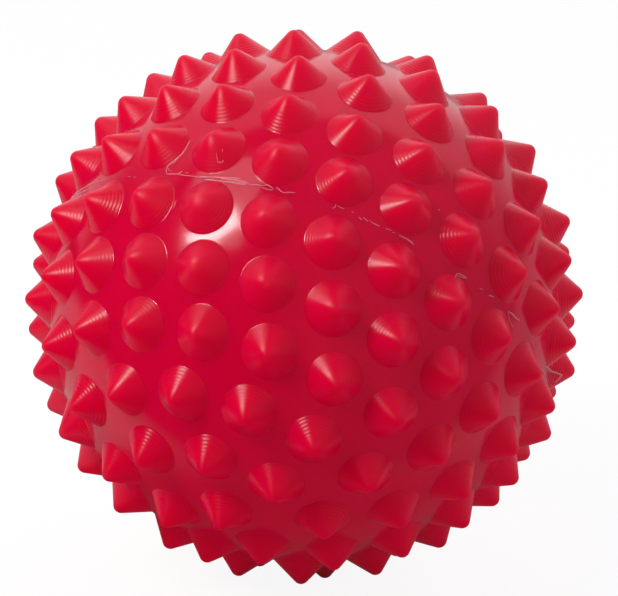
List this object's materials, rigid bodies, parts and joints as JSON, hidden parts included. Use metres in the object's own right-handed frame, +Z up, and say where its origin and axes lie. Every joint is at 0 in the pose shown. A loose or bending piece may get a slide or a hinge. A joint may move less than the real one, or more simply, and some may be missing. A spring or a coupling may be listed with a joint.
{
  "type": "sensory ball",
  "caption": "Hollow soft vinyl ball covered in rings of blunt cone spikes, welded from half shells, with a pull-out air plug.",
  "frame": {"origin": "centre of the ball", "axes": "+Z up as the ball lies on three of its spikes, +Y away from the viewer of the picture, +X to their right; the weld's axis and the air plug point along (0.335, 0.639, 0.692)"},
  "size_m": [0.0897, 0.0895, 0.0891],
  "materials": {
    "red_vinyl": "soft vinyl, semi-gloss, with fine turned rings on the spikes",
    "valve_rubber": "matte moulded rubber",
    "plug_vinyl": "soft vinyl, semi-gloss"
  },
  "bodies": {
    "ball": {"upper_half": "red_vinyl", "lower_half": "red_vinyl", "valve_sleeve": "valve_rubber"},
    "plug": {"valve_plug": "plug_vinyl"}
  },
  "joints": [
    {"name": "plug_pull", "type": "slide", "parent": "ball", "child": "plug", "axis": [0.3355, 0.639, 0.6923], "range_m": [0, 0.01]}
  ]
}
